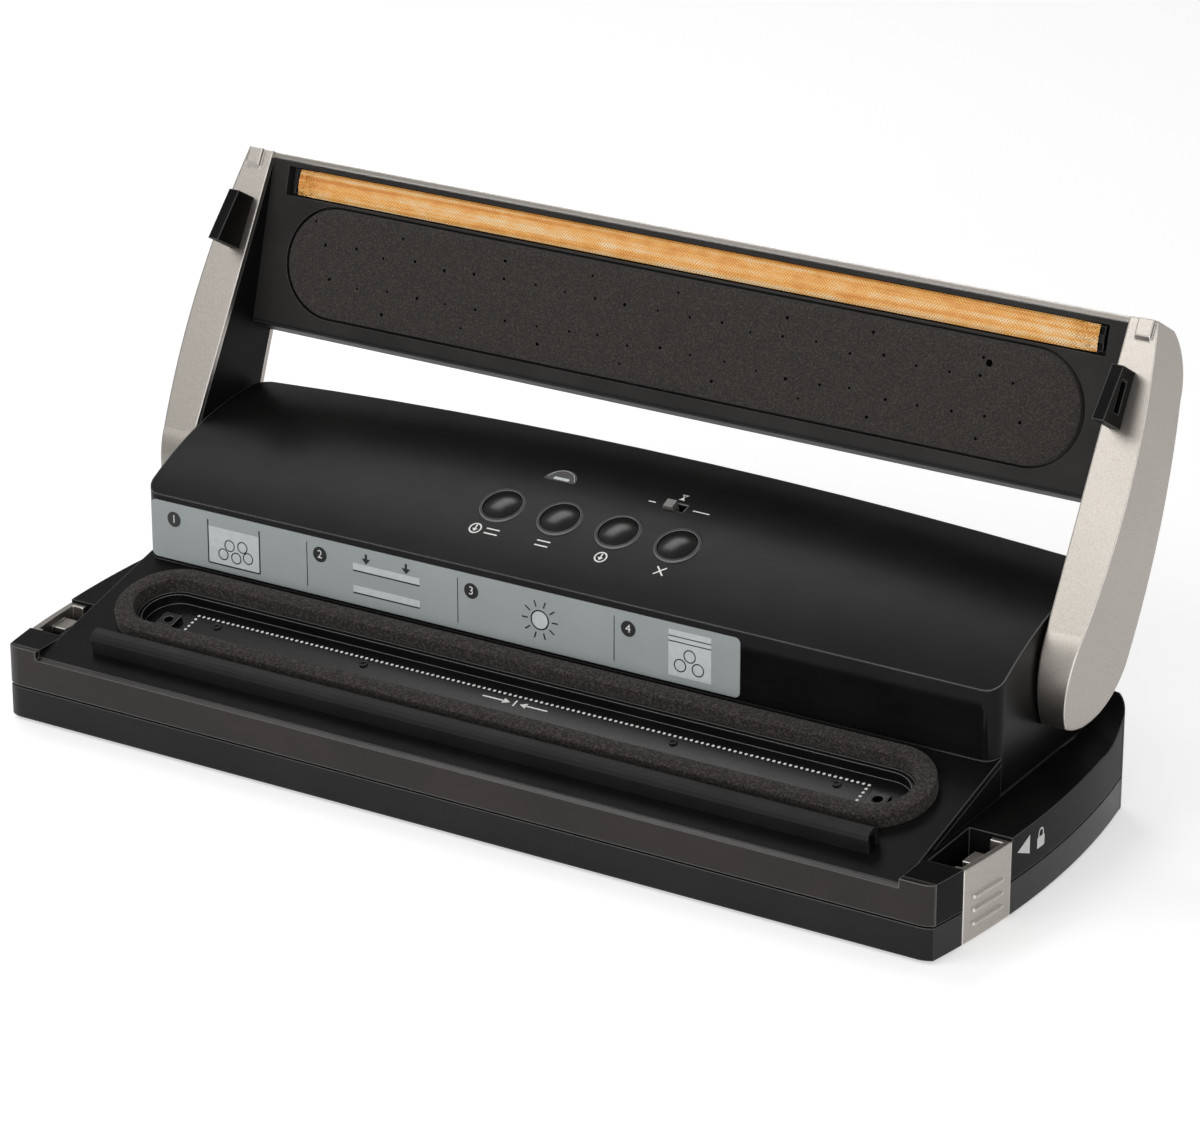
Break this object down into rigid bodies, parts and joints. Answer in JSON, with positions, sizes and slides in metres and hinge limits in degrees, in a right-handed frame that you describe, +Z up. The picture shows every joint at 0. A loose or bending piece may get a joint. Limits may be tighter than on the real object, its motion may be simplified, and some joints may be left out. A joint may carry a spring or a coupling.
{
  "type": "vacuum sealer",
  "caption": "Countertop vacuum sealer with a hinged lid bar held open over a sloped sealing deck, foam gaskets, control console and side latches.",
  "frame": {"origin": "on the table, under the middle of the open object's bounding box", "axes": "+X to the object's right seen from the front, along its length; +Y to the back; +Z up"},
  "size_m": [0.4082, 0.1807, 0.1843],
  "materials": {
    "housing_black": "satin",
    "lid_silver": "satin",
    "foam": "matte",
    "rubber": "matte",
    "tape": "satin",
    "button_gray": "gloss",
    "lens": "gloss",
    "steel": "satin",
    "board": "satin",
    "dark_parts": "matte",
    "iron": "satin"
  },
  "bodies": {
    "base": {"base_foam_ring": "foam", "chamber_port_left": "housing_black", "chamber_port_right": "housing_black", "chamber_tray": "housing_black", "console_housing": "housing_black", "control_board": "board", "deck_plate": "housing_black", "front_fascia": "housing_black", "hinge_pin_left": "steel", "hinge_pin_right": "steel", "housing_screws": "steel", "indicator_lens": "lens", "latch_pin_left": "steel", "latch_pin_right": "steel", "lid_switch_left": "dark_parts", "lid_switch_right": "dark_parts", "lower_shell": "housing_black", "power_gland": "housing_black", "pump_head": "dark_parts", "pump_motor": "steel", "rubber_feet": "rubber", "seal_strip": "rubber", "side_cap_left": "housing_black", "side_cap_right": "housing_black", "status_led": "lens", "tact_switches": "dark_parts", "time_switch_body": "dark_parts", "transformer": "iron", "upper_housing": "housing_black", "vacuum_hose": "rubber"},
    "lid": {"arm_liner_left": "housing_black", "arm_liner_right": "housing_black", "heater_carrier": "dark_parts", "heating_wire": "steel", "lid_arm_left": "lid_silver", "lid_arm_right": "lid_silver", "lid_catch_left": "housing_black", "lid_catch_right": "housing_black", "lid_cover": "lid_silver", "lid_foam_pad": "foam", "lid_inner_panel": "housing_black", "ptfe_tape": "tape"},
    "latch_left": {"latch_left": "lid_silver"},
    "latch_right": {"latch_right": "lid_silver"},
    "button_1": {"button_1": "button_gray"},
    "button_2": {"button_2": "button_gray"},
    "button_3": {"button_3": "button_gray"},
    "button_4": {"button_4": "button_gray"},
    "time_switch_knob": {"time_switch_knob": "button_gray"},
    "pump_crank": {"pump_crank": "steel"}
  },
  "joints": [
    {"name": "lid_hinge", "type": "hinge", "parent": "base", "child": "lid", "pos_m": [0, 0.03621, 0.0626], "axis": [1, 0, 0], "range_deg": [0, 120]},
    {"name": "latch_left_swing", "type": "hinge", "parent": "base", "child": "latch_left", "pos_m": [-0.19467, -0.05806, 0.0085], "axis": [0, 1, 0], "range_deg": [0, 8]},
    {"name": "latch_right_swing", "type": "hinge", "parent": "base", "child": "latch_right", "pos_m": [0.19467, -0.05806, 0.0085], "axis": [0, -1, 0], "range_deg": [0, 8]},
    {"name": "button_1_press", "type": "slide", "parent": "base", "child": "button_1", "axis": [0, 0.3875, -0.9219], "range_m": [0, 0.0012], "stiffness_N_per_m": 400},
    {"name": "button_2_press", "type": "slide", "parent": "base", "child": "button_2", "axis": [0, 0.3875, -0.9219], "range_m": [0, 0.0012], "stiffness_N_per_m": 400},
    {"name": "button_3_press", "type": "slide", "parent": "base", "child": "button_3", "axis": [0, 0.3875, -0.9219], "range_m": [0, 0.0012], "stiffness_N_per_m": 400},
    {"name": "button_4_press", "type": "slide", "parent": "base", "child": "button_4", "axis": [0, 0.3875, -0.9219], "range_m": [0, 0.0012], "stiffness_N_per_m": 400},
    {"name": "time_switch_slide", "type": "slide", "parent": "base", "child": "time_switch_knob", "axis": [1, 0, 0], "range_m": [0, 0.004]},
    {"name": "pump_spin", "type": "hinge", "parent": "base", "child": "pump_crank", "pos_m": [0.1134, 0.02824, 0.024], "axis": [1, 0, 0], "continuous": true}
  ]
}
